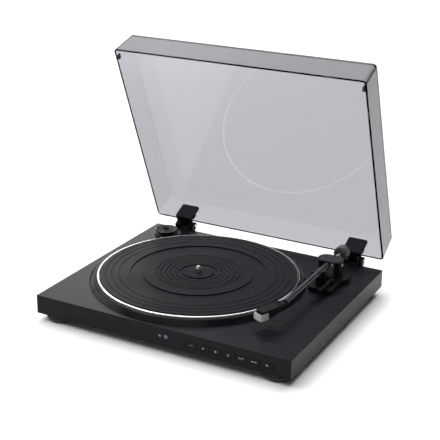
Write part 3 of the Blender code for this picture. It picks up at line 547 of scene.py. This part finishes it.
# ------------------------------------------------------------------------ platter
def make_platter():
    inner = MAT_R + 0.0004
    section = [(0.0039, PLATE_TOP - 0.0079), (0.012, PLATE_TOP - 0.0079, 0.0005),
               (0.012, PLATE_TOP - 0.003), (0.060, PLATE_TOP - 0.003), (0.060, DECK - 0.0075),
               (0.064, DECK - 0.0075), (0.064, PLATE_TOP - 0.003), (0.144, PLATE_TOP - 0.003),
               (0.144, DECK - 0.010), (PLATTER_R, DECK - 0.010, 0.0006),
               (PLATTER_R, PLATTER_TOP, 0.0014),
               (inner + 0.0003, PLATTER_TOP - 0.0003, 0.0003), (inner, PLATTER_TOP - 0.0006),
               (inner, PLATE_TOP), (0.0039, PLATE_TOP)]
    obj = mesh_object("casting", moved(turned(section, 256, 6), PLATTER_X))
    obj = piece("platter_casting", obj, [M["side"], M["rim"]], "platter",
                replaces="platter", sharp=28)
    for face in obj.data.polygons:
        if face.center.z > PLATTER_TOP - 0.0030:
            face.material_index = 1
    base = PLATE_TOP + GAP
    top = MAT_TOP
    line = [(0.0041, base), (MAT_R, base), (MAT_R, top - 0.0005), (MAT_R - 0.0005, top, 0.0003)]

    def groove(radius, width, depth):
        return [(radius + width / 2, top, 0.0001), (radius + width * 0.28, top - depth, 0.0001),
                (radius - width * 0.28, top - depth, 0.0001), (radius - width / 2, top, 0.0001)]

    for radius in (0.1370, 0.1280, 0.1170):
        line += groove(radius, 0.0012, 0.0007)
    line += [(0.1010, top, 0.0001), (0.1009, top - 0.0015, 0.0002),
             (0.0821, top - 0.0015, 0.0002), (0.0820, top, 0.0001)]
    for radius in (0.0620, 0.0555, 0.0480, 0.0410, 0.0340):
        line += groove(radius, 0.0014, 0.0011)
    line += [(0.0280, top, 0.0001), (0.0279, top - 0.0015, 0.0002),
             (0.0231, top - 0.0015, 0.0002), (0.0230, top, 0.0001),
             (0.0062, top, 0.0002), (0.0060, top - 0.0006), (0.0041, top - 0.0006)]
    piece("record_mat", turned(line, 256, 2), M["mat"], "platter",
          matrix=Matrix.Translation((PLATTER_X, 0, 0)), replaces="platter_mat", sharp=30)
    seat = PLATE_TOP - 0.0079 - GAP
    shaft = [(0, 0.0168), (0.003, 0.0168), (0.003, seat - 0.002), (0.009, seat - 0.002),
             (0.009, seat), (SPINDLE_R, seat), (SPINDLE_R, SPINDLE_TIP - 0.0036, 0.002),
             (0.0022, SPINDLE_TIP - 0.0005, 0.0012), (0.0008, SPINDLE_TIP, 0.0005),
             (0, SPINDLE_TIP)]
    piece("centre_spindle", turned(shaft, 64, 6), M["steel"], "platter",
          matrix=Matrix.Translation((PLATTER_X, 0, 0)), replaces="spindle")


# ------------------------------------------------------------------------ front controls
def mark(name, shapes, body, x, z):
    """Thin pale generic signs on a key's face, from outlines in X and Z."""
    y = FRONT_Y - GAP
    parts = [front_prism([(x + px, z + pz) for px, pz in outline], y - 0.00006, y + 0.0002)
             for outline in shapes]
    return piece(name, joined(*parts), M["mark"], body, sharp=30)


def make_controls():
    unit = 0.001
    square = [(-1.1, -1.1), (1.1, -1.1), (1.1, 1.1), (-1.1, 1.1)]
    play = [(-1.0, -1.3), (1.4, 0), (-1.0, 1.3)]
    bar = [(-2.6, -0.35), (2.6, -0.35), (2.6, 0.35), (-2.6, 0.35)]
    up = [(-1.3, -0.7), (1.3, -0.7), (0, 1.2)]
    ring = [(1.3 * cos(a * pi / 12), 1.3 * sin(a * pi / 12)) for a in range(24)]

    def at(outline, dx=0.0, dz=0.0, scale=1.0):
        return [((x * scale + dx) * unit, (z * scale + dz) * unit) for x, z in outline]

    signs = [
        [at(bar, -1.6, 0, 0.5), at(bar, 1.6, 0, 0.5)],
        [at(play)],
        [at(square)],
        [at(up, 0, 0.7, 0.8), at(bar, 0, -1.1, 0.6)],
        [at(ring, -2.4, 0, 0.6), at(bar, 1.3, 0, 0.9)],
        [at(bar, -1.0, 0, 1.0), at(ring, 3.2, 0, 0.6)],
        [at(ring, 0, 0, 0.85)],
    ]
    for k in range(BUTTON_COUNT):
        centre = BUTTON_FIRST_X + (k + 0.5) * BUTTON_PITCH
        half = (BUTTON_PITCH - BUTTON_GAP) / 2
        y = FRONT_Y - GAP
        key = box(centre - half, centre + half, y, y + BUTTON_DEPTH,
                  BUTTON_Z - BUTTON_H / 2, BUTTON_Z + BUTTON_H / 2)
        name = f"button_{k + 1}"
        piece(f"key_{k + 1}", key, M["deck"], name, 0.00035, 3,
              replaces=name)
        mark(f"key_sign_{k + 1}", signs[k], name, centre, BUTTON_Z)
    window = turned([(0, 0.004), (0.0033, 0.004), (0.0033, 0.0004, 0.0002), (0.0026, -0.0001),
                     (0.0024, 0.0003, 0.0002), (0, 0.0001)], 48)
    lamp = turned([(0, 0.004), (0.0018, 0.004), (0.0018, 0.0004, 0.0003),
                   (0.0010, -0.0003, 0.0005), (0, -0.0004)], 40, 6)
    for name, bm, x, look, node in (("receiver_lens", window, IR_X, "lens", "receiver_window"),
                                    ("pilot_lamp", lamp, LED_X, "lamp", "lamp_lens")):
        piece(name, moved(along_y(bm), x, FRONT_Y, LAMP_Z), M[look], "plinth",
              replaces=node)


# ------------------------------------------------------------------------ rear sockets
def make_rear():
    plate = mesh_object("plate", front_prism(
        arc([(-0.0550, 0.0155, 0.001), (0.0550, 0.0155, 0.001), (0.0550, 0.0345, 0.001),
             (-0.0550, 0.0345, 0.001)], True), REAR_Y - 0.0028, REAR_Y - GAP))
    middle = SOCKET_Z
    for x, radius in ((SOCKET_LEFT_X, 0.0045), (SOCKET_RIGHT_X, 0.0045), (POWER_X, 0.0043)):
        cut(plate, moved(along_y(prism(circle(radius, 48), -0.01, 0.01)), x, REAR_Y, middle))
    cut(plate, box(-0.0080, 0.0010, REAR_Y - 0.01, REAR_Y + 0.01, middle - 0.0018,
                   middle + 0.0018))
    piece("rear_plate", plate, M["cover"], "plinth", 0.0003, 2,
          replaces="rear_panel")
    for name, x, look, slot in (("left", SOCKET_LEFT_X, "white", "socket_white"),
                                ("right", SOCKET_RIGHT_X, "red", "socket_red")):
        collar = turned([(0.0030, -0.006), (0.0042, -0.006), (0.0042, 0.0020, 0.0003),
                         (0.0034, 0.0026, 0.0003), (0.0030, 0.0026)], 48)
        piece(f"socket_collar_{name}", moved(along_y(collar), x, REAR_Y, middle), M[look],
              "plinth", replaces=f"output_socket_{name}")
        barrel = turned([(0.0017, -0.005), (0.0029, -0.005), (0.0029, 0.0064, 0.0003),
                         (0.0026, 0.0068, 0.0002), (0.0017, 0.0068)], 48)
        piece(f"socket_barrel_{name}", moved(along_y(barrel), x, REAR_Y, middle), M["plug"],
              "plinth")
    jack = turned([(0, -0.010), (0.004, -0.010), (0.004, 0.0006, 0.0003),
                   (0.0028, 0.0006, 0.0002), (0.0028, -0.0085), (0.0010, -0.0085),
                   (0.0010, -0.0010, 0.0003), (0, -0.0006)], 48)
    piece("power_jack", moved(along_y(jack), POWER_X, REAR_Y, middle), M["gloss"], "plinth",
          replaces="power_socket")
    slider = joined(box(-0.0075, -0.0035, REAR_Y - 0.0060, REAR_Y + 0.0007, middle - 0.0014,
                        middle + 0.0014),
                    box(-0.0063, -0.0047, REAR_Y + 0.0002, REAR_Y + 0.0015, middle - 0.0012,
                        middle + 0.0012))
    piece("level_slider", slider, M["white"], "level_switch", 0.0002, 2,
          replaces="level_switch")
    for k, x in enumerate((-0.0515, 0.0515)):
        screw(f"rear_screw_{k + 1}", (x, REAR_Y - GAP, middle), (0, 1, 0), 0.0022, "plinth")


def make_adapter():
    low = DECK + GAP
    top = low + ADAPTER_H
    r = ADAPTER_R
    section = [(0.0038, low), (r, low, 0.0004), (r, low + 0.0022, 0.0005),
               (r - 0.0016, low + 0.0030, 0.0010), (r - 0.0006, low + 0.0048, 0.0040),
               (r - 0.0020, top - 0.0030, 0.0010),
               (r, top - 0.0024, 0.0005), (r, top - 0.0008, 0.0006), (r - 0.0008, top, 0.0006),
               (0.0135, top, 0.0003), (0.0128, top - 0.0008, 0.0003),
               (0.0112, top - 0.0008, 0.0003), (0.0105, top, 0.0003),
               (0.0072, top, 0.0003), (0.0064, top - 0.0016, 0.0003),
               (0.0044, top - 0.0016, 0.0003), (0.0038, top - 0.0022)]
    piece("record_adapter", turned(section, 128, 4), M["gloss"], "single_adapter",
          matrix=Matrix.Translation((ADAPTER_X, ADAPTER_Y, 0)),
          replaces="single_adapter")


# ------------------------------------------------------------------------ tonearm
def make_arm_base():
    body = mesh_object("base", prism(circle(PEDESTAL_R, 128, PIVOT_X, PIVOT_Y),
                                     DECK + GAP, PEDESTAL_TOP))
    front = prism(rounded_rectangle(0.0182, 0.0230, 0.005, 8, 0.1482, 0.0640),
                  DECK + GAP, PEDESTAL_TOP)
    cut(body, front, "UNION")
    ear_x = PIVOT_X + LEVER_X + 0.0022
    y, z = PIVOT_Y + LEVER_Y, LEVER_Z
    ear = side_prism(arc([(y - 0.004, DECK + 0.002), (y + 0.004, DECK + 0.002),
                          (y + 0.004, z + 0.0035, 0.003), (y - 0.004, z + 0.0035, 0.003)],
                         True, 6), ear_x, ear_x + 0.0025)
    cut(body, ear, "UNION")
    cut(body, prism(circle(0.0056, 48, PIVOT_X, PIVOT_Y), DECK - 0.01, DECK + 0.02))
    piece("tonearm_pedestal", body, M["arm"], "plinth", 0.0007, 4,
          replaces="tonearm_base")
    tower = [(0.0023, PEDESTAL_TOP + GAP), (0.0048, PEDESTAL_TOP + GAP, 0.0003),
             (0.0042, PEDESTAL_TOP + 0.0070, 0.0005), (0.0023, PEDESTAL_TOP + 0.0070)]
    piece("lift_tower", turned(tower, 48), M["arm"], "plinth",
          matrix=Matrix.Translation((PIVOT_X, PIVOT_Y - LIFT_FORWARD, 0)),
          replaces="lift_guide")
    saddle = ARM_Z - SLEEVE_R - REST_PLAY
    profile = arc([(-0.0044, PEDESTAL_TOP + GAP), (0.0098, PEDESTAL_TOP + GAP),
                   (0.0098, ARM_Z + 0.0030, 0.0012), (0.0066, ARM_Z + 0.0030, 0.0012),
                   (0.0060, ARM_Z - 0.0015, 0.0015), (0.0046, saddle + 0.0008, 0.0015),
                   (0.0036, saddle, 0.0010), (-0.0044, saddle, 0.0010)], True, 5)
    rest = spun(prism(profile, -0.0035, 0.0035), pi / 2, "X")
    piece("arm_cradle", rest, M["arm"], "plinth", 0.0004, 3,
          matrix=Matrix.Translation((PIVOT_X, PIVOT_Y - REST_FORWARD, 0)),
          replaces="arm_rest")


def make_cueing():
    top = ARM_Z - SLEEVE_R - LIFT_PLAY
    bar = mesh_object("bar", box(-0.0150, 0.0095, -0.0026, 0.0026, top - 0.0036, top))
    softened(bar, 0.0012)
    knob = turned([(0, -0.0034), (0.0036, -0.0034, 0.0012), (0.0036, 0, 0.0014), (0, 0)], 48, 6)
    cut(bar, moved(knob, -0.0150, 0, top), "UNION")
    cut(bar, prism(circle(0.0019, 40), PEDESTAL_TOP + 0.0008, top - 0.0020), "UNION")
    piece("cue_bar", bar, M["arm"], "lift_bar",
          matrix=Matrix.Translation((PIVOT_X, PIVOT_Y - LIFT_FORWARD, 0)),
          replaces="lift_bar")
    handle = arc([(0.0030, -0.0026, 0.0008), (0.0030, 0.0026, 0.0008), (-0.0280, 0.0016, 0.01),
                  (-0.0440, 0.0030, 0.0008), (-0.0440, 0.0006, 0.0008),
                  (-0.0280, -0.0014, 0.01)], True, 5)
    lever = mesh_object("lever", side_prism(handle, -0.0022, 0.0016))
    cut(lever, along_x(prism(circle(0.0032, 48), -0.0024, 0.0018)), "UNION")
    cut(lever, along_x(prism(circle(0.0011, 24), 0.0, 0.0044)), "UNION")
    piece("cue_handle", lever, M["arm"], "cue_lever", 0.0004, 3,
          matrix=Matrix.Translation((PIVOT_X + LEVER_X, PIVOT_Y + LEVER_Y, LEVER_Z)),
          replaces="cue_lever")


def make_yoke():
    low = PEDESTAL_TOP + GAP
    place = Matrix.Translation((PIVOT_X, PIVOT_Y, 0))
    disc = turned([(0, low), (0.0195, low), (0.0195, low + 0.0014, 0.0004),
                   (0.0187, low + 0.0022, 0.0004), (0, low + 0.0022)], 128)
    yoke = mesh_object("yoke", disc)
    for side in (-1, 1):
        leg = turned([(0, low + 0.001), (0.0062, low + 0.001), (0.0062, CAP_TOP - 0.0012),
                      (0, CAP_TOP - 0.0012)], 64)
        cut(yoke, moved(leg, side * 0.0125), "UNION")
    cut(yoke, box(-0.0063, 0.0063, -0.03, 0.03, low + 0.0022, CAP_TOP))
    pins = moved(along_x(prism(circle(0.0016, 32), -0.0095, 0.0095)), 0, 0, ARM_Z)
    cut(yoke, pins)
    piece("gimbal_frame", yoke, M["arm"], "yoke", matrix=place, sharp=28,
          replaces="gimbal_yoke")
    cap = prism(arc(rounded_rectangle(0.0190, 0.0135, 0.0134, 20), True), CAP_TOP - 0.0027,
                CAP_TOP)
    piece("gimbal_cap", cap, M["cap"], "yoke", 0.0006, 4, matrix=place, angle=50)
    screw("gimbal_screw", (PIVOT_X + 0.0187, PIVOT_Y, ARM_Z), (1, 0, 0), 0.0024, "yoke")


def make_arm():
    pivot = Matrix.Translation((PIVOT_X, PIVOT_Y, ARM_Z))
    tube = [(0, -TUBE_END), (TUBE_R, -TUBE_END, 0.0003), (TUBE_R, 0.0520, 0.0003),
            (SLEEVE_R, 0.0512, 0.0003), (SLEEVE_R, 0.0182, 0.0003), (0.0056, 0.0180, 0.0003),
            (0.0056, 0.0158, 0.0003), (0.0026, 0.0158), (0.0026, -0.0090), (0, -0.0090)]
    bm = turned([(p[0], -p[1], *p[2:]) for p in tube], 64)
    piece("tonearm_tube", along_y(bm), M["tube"], "arm", matrix=pivot,
          replaces="arm_tube")
    dial = turned([(0.0034, WEIGHT_FRONT - 0.0010), (0.0052, WEIGHT_FRONT - 0.0010, 0.0002),
                   (0.0052, WEIGHT_FRONT - 0.0033, 0.0004),
                   (0.0104, WEIGHT_FRONT - 0.0033, 0.0006),
                   (0.0108, WEIGHT_FRONT - 0.0027, 0.0004),
                   (0.0108, WEIGHT_FRONT - GAP, 0.0002), (0.0034, WEIGHT_FRONT - GAP)], 96)
    piece("gauge_dial", along_y(dial), M["weight"], "force_dial", matrix=pivot,
          replaces="force_dial")
    y0, y1 = WEIGHT_FRONT, WEIGHT_FRONT + WEIGHT_LENGTH
    weight = turned([(0.0034, y0 + 0.0006), (0.0044, y0), (WEIGHT_R - 0.0006, y0, 0.0004),
                     (WEIGHT_R, y0 + 0.0006, 0.0003), (WEIGHT_R, y1 - 0.0040, 0.0002),
                     (WEIGHT_R - 0.0004, y1 - 0.0036, 0.0001),
                     (WEIGHT_R - 0.0004, y1 - 0.0030, 0.0001), (WEIGHT_R, y1 - 0.0026, 0.0002),
                     (WEIGHT_R, y1 - 0.0008, 0.0004), (WEIGHT_R - 0.0010, y1, 0.0004),
                     (0.0034, y1, 0.0003)], 96)
    piece("balance_weight", along_y(weight), M["weight"], "counterweight",
          matrix=pivot, replaces="counterweight")

    head = (Matrix.Translation((PIVOT_X, PIVOT_Y + TUBE_END, ARM_Z))
            @ Matrix.Rotation(-pi / 2 - OFFSET_ANGLE, 4, "Z"))
    plan = arc([(0.0035, -0.0046, 0.001), (0.0100, -0.0078, 0.004), (0.0440, -0.0080, 0.002),
                (0.0465, -0.0060, 0.002), (0.0465, 0.0060, 0.002), (0.0440, 0.0080, 0.002),
                (0.0100, 0.0078, 0.004), (0.0035, 0.0046, 0.001)], True, 5)
    shell = mesh_object("headshell", prism(plan, -0.0024, 0.0024))
    taper = side_prism([(-0.02, 0.0024), (0.02, 0.0024), (0.02, 0.006), (-0.02, 0.006)],
                       0.0, 0.05)
    cut(shell, spun(taper, radians(2.2), "Y"))
    cut(shell, box(0.0205, 0.0452, -0.0072, 0.0072, -0.0028, -0.0012))
    for x in (0.0085, 0.0115, 0.0145):
        cut(shell, box(x, x + 0.0013, -0.0200, 0.0200, 0.0014, 0.0040))
    piece("headshell_body", shell, M["arm"], "arm", 0.0005, 3, matrix=head,
          replaces="headshell")
    finger = arc([(0.0300, -0.0083), (0.0345, -0.0083), (0.0342, -0.0150, 0.002),
                  (0.0332, -0.0180, 0.001), (0.0312, -0.0180, 0.001), (0.0304, -0.0150, 0.002)],
                 True, 4)
    piece("finger_tab", prism(finger, -0.0012, 0.0000), M["arm"], "arm",
          0.0003, 2, matrix=head, replaces="finger_lift")
    body = arc([(0.0215, -0.0015), (0.0442, -0.0015), (0.0442, -0.0070, 0.0006),
                (0.0390, -0.0112, 0.0010), (0.0215, -0.0112, 0.0010)], True, 4)
    cartridge = spun(prism(body, -0.0068, 0.0068), pi / 2, "X")
    piece("cartridge_body", cartridge, M["arm"], "arm", 0.0004, 3, matrix=head,
          replaces="cartridge")
    cup = mesh_object("guard", box(0.0350, 0.0495, -0.0082, 0.0082, -0.0132, -0.0028))
    softened(cup, 0.0016)
    cut(cup, box(0.0340, 0.0483, -0.0071, 0.0071, -0.0122, -0.0020))
    piece("guard_cup", cup, M["guard"], "stylus_guard", 0.0002, 2, matrix=head,
          replaces="stylus_guard")


# ------------------------------------------------------------------------ dust cover
OPENED = (Matrix.Translation((0, HINGE_Y, HINGE_Z)) @ Matrix.Rotation(-LID_OPEN, 4, "X")
          @ Matrix.Translation((0, -HINGE_Y, -HINGE_Z)))


def make_cover():
    top = LID_RIM + LID_H

    def ring(bm, inset, height):
        draw = LID_DRAFT * (height - LID_RIM) / (top - LID_RIM)
        outline = rounded_rectangle(LID_W / 2 - draw - inset, LID_D / 2 - draw - inset,
                                    max(0.0015, 0.0060 - inset), 10)
        return [bm.verts.new((x, y + LID_REAR - LID_D / 2, height)) for x, y in outline]

    bm = bmesh.new()
    t, r = LID_WALL, 0.0016
    levels = [(t + 0.0012, top - t), (t + 0.0004, top - t - 0.0003), (t, top - t - 0.0012),
              (t, LID_RIM + 0.0002), (t - 0.0002, LID_RIM), (0.0002, LID_RIM),
              (0, LID_RIM + 0.0002)]
    levels += [(r * (1 - cos(a * pi / 12)), top - r * (1 - sin(a * pi / 12)))
               for a in range(7)]
    rings = [ring(bm, inset, height) for inset, height in levels]
    for low, high in zip(rings, rings[1:]):
        for k in range(len(low)):
            bm.faces.new((low[k - 1], low[k], high[k], high[k - 1]))
    bm.faces.new(rings[0])
    bm.faces.new(rings[-1])
    cover = mesh_object("cover", bm)
    for side in (-1, 1):
        x = side * HINGE_X
        cut(cover, box(x - 0.0150, x + 0.0150, LID_REAR - 0.008, LID_REAR + 0.004,
                       LID_RIM - 0.003, LID_RIM + 0.0034))
    obj = piece("clear_cover", cover, M["acrylic"], "dust_cover",
                matrix=OPENED, sharp=40, replaces="dust_cover")
    obj.visible_shadow = False

    lean = LID_DRAFT / LID_H
    inner, outer = LID_REAR - LID_WALL - 0.0004, LID_REAR + GAP
    floor, ceiling = LID_RIM - 0.0014, LID_RIM + 0.0030
    for name, side in (("left", -1), ("right", 1)):
        x = side * HINGE_X
        # the pad inside the cover, with rounded corners, leaning with the wall
        pad_low, pad_top = floor, LID_RIM + 0.0280
        pad = front_prism(rounded_rectangle(0.0155, (pad_top - pad_low) / 2, 0.0030, 6, x,
                                            (pad_top + pad_low) / 2), inner - 0.0030, inner)
        for vert in pad.verts:
            vert.co.y -= lean * (vert.co.z - LID_RIM)
        clip = mesh_object("clip", pad)
        cut(clip, box(x - 0.0142, x + 0.0142, inner - 0.0020, outer + 0.0020, floor + 0.0004,
                      ceiling - 0.0004), "UNION")
        plate = front_prism(rounded_rectangle(0.0145, 0.0087, 0.0020, 5, x, floor + 0.0087),
                            outer, outer + 0.0022)
        for vert in plate.verts:
            vert.co.y -= lean * (vert.co.z - LID_RIM)
        cut(clip, plate, "UNION")
        neck = box(x - BARREL_HALF, x + BARREL_HALF, LID_REAR + 0.001, HINGE_Y,
                   LID_RIM - 0.0014, LID_RIM + 0.0046)
        cut(clip, neck, "UNION")
        barrel = moved(along_x(prism(circle(0.0046, 64), -BARREL_HALF, BARREL_HALF)), x,
                       HINGE_Y, HINGE_Z)
        cut(clip, barrel, "UNION")
        bore = along_x(prism(circle(PIN_HOLE_R, 32), -0.02, 0.02))
        cut(clip, moved(bore, x, HINGE_Y, HINGE_Z))
        piece(f"cover_clip_{name}", clip, M["clip"], "dust_cover", 0.0004, 3,
              matrix=OPENED, replaces=f"hinge_clip_{name}")

        nose = [(HINGE_Y + BARREL_ROOM * cos(a), HINGE_Z + BARREL_ROOM * sin(a))
                for a in [radians(-50 + 10 * k) for k in range(17)]]
        rear = REAR_Y + GAP
        outline = ([(rear, 0.0150), (rear + 0.0022, 0.0150), (rear + 0.0022, 0.0250)] + nose
                   + [(rear, DECK + 0.0060)])
        fixed = mesh_object("fixed", side_prism(outline, x - HINGE_HALF, x + HINGE_HALF))
        room = KNUCKLE_HALF + 0.0004
        cut(fixed, box(x - room, x + room, REAR_Y + 0.0025, HINGE_Y + 0.02,
                       HINGE_Z - BARREL_ROOM, 0.07))
        cut(fixed, box(x - room, x + room, REAR_Y - 0.01, HINGE_Y, DECK - 0.0006, 0.07))
        bore = along_x(prism(circle(PIN_HOLE_R, 32), -0.03, 0.03))
        cut(fixed, moved(bore, x, HINGE_Y, HINGE_Z))
        piece(f"hinge_bracket_{name}", fixed, M["clip"], "plinth", 0.0005, 3,
              replaces=f"hinge_base_{name}")
        for k, dx in enumerate((-0.0125, 0.0125)):
            screw(f"hinge_screw_{name}_{k + 1}", (x + dx, rear + 0.0022, 0.0200), (0, 1, 0),
                  0.0024, "plinth")


# ------------------------------------------------------------------------ stage
def make_stage():
    bm = bmesh.new()
    size = 40.0
    corners = [bm.verts.new((x * size, y * size, 0)) for x, y in
               ((-1, -1), (1, -1), (1, 1), (-1, 1))]
    bm.faces.new(corners)
    floor = mesh_object("studio_floor", bm)
    mat, nodes, links, shader = new_material("studio_floor_paint")
    coords = nodes.new("ShaderNodeTexCoord").outputs["Object"]
    slow = noise(nodes, links, coords, 0.8, 1.0)
    links.new(shades(nodes, links, slow, (0.965, 0.965, 0.965), (0.975, 0.975, 0.975)),
              shader.inputs["Base Color"])
    shader.inputs["Roughness"].default_value = 1.0
    shader.inputs["Specular IOR Level"].default_value = 0.0
    floor.data.materials.append(mat)

    world = bpy.data.worlds.new("studio")
    scene.world = world
    world.use_nodes = True
    back = world.node_tree.nodes["Background"]
    back.inputs["Color"].default_value = (1, 1, 1, 1)
    # pale round the horizon, like a studio's walls, and dim above it
    nodes, links = world.node_tree.nodes, world.node_tree.links
    split = nodes.new("ShaderNodeSeparateXYZ")
    links.new(nodes.new("ShaderNodeTexCoord").outputs["Generated"], split.inputs[0])
    links.new(ramp(nodes, links, split.outputs["Z"], 1.05, 0.06, 0.10, 0.24),
              back.inputs["Strength"])

    def panel(name, place, aim, wide, tall, power):
        light = bpy.data.lights.new(name, "AREA")
        light.shape = "RECTANGLE"
        light.size, light.size_y, light.energy = wide, tall, power
        obj = bpy.data.objects.new(name, light)
        obj.location = place
        obj.rotation_euler = (Vector(aim) - Vector(place)).to_track_quat("-Z", "Y").to_euler()
        scene.collection.objects.link(obj)

    sun = bpy.data.lights.new("soft_key", "SUN")
    sun.energy, sun.angle = 3.2, radians(70)
    obj = bpy.data.objects.new("soft_key", sun)
    obj.rotation_euler = Vector((0.24, -0.42, -1.0)).to_track_quat("-Z", "Y").to_euler()
    scene.collection.objects.link(obj)
    panel("back_left_panel", (-1.22, 1.52, 0.70), (0, 0, 0.05), 0.70, 0.95, 3.7)
    panel("front_left_key", (-1.70, -1.40, 3.10), (0, 0, 0.05), 1.5, 1.5, 40)
    panel("front_top_panel", (0.25, -1.70, 2.40), (0, 0, 0.05), 1.6, 1.0, 8)
    panel("left_panel", (-2.00, -0.40, 0.85), (0, 0, 0.05), 1.4, 1.0, 9)

    camera = bpy.data.objects.new("camera", bpy.data.cameras.new("camera"))
    camera.data.lens, camera.data.sensor_width = 86.94, 36
    camera.data.clip_start, camera.data.clip_end = 0.05, 60
    place = Vector((0.6791, -1.2796, 0.6815))
    turn, tilt, roll = radians(28.10), radians(20.85), radians(0.67)
    right = Vector((cos(turn), sin(turn), 0))
    ahead = Vector((-sin(turn) * cos(tilt), cos(turn) * cos(tilt), -sin(tilt)))
    above = right.cross(ahead)
    side = right * cos(roll) + above * sin(roll)
    upward = above * cos(roll) - right * sin(roll)
    camera.matrix_world = Matrix.Translation(place) @ Matrix(
        (side, upward, -ahead)).transposed().to_4x4()
    scene.collection.objects.link(camera)
    scene.camera = camera
    scene.view_settings.view_transform = "Standard"
    scene.view_settings.look = "None"


make_stage()
make_plinth()
make_platter()
make_controls()
make_rear()
make_adapter()
make_arm_base()
make_cueing()
make_yoke()
make_arm()
make_cover()

bpy.context.view_layer.update()
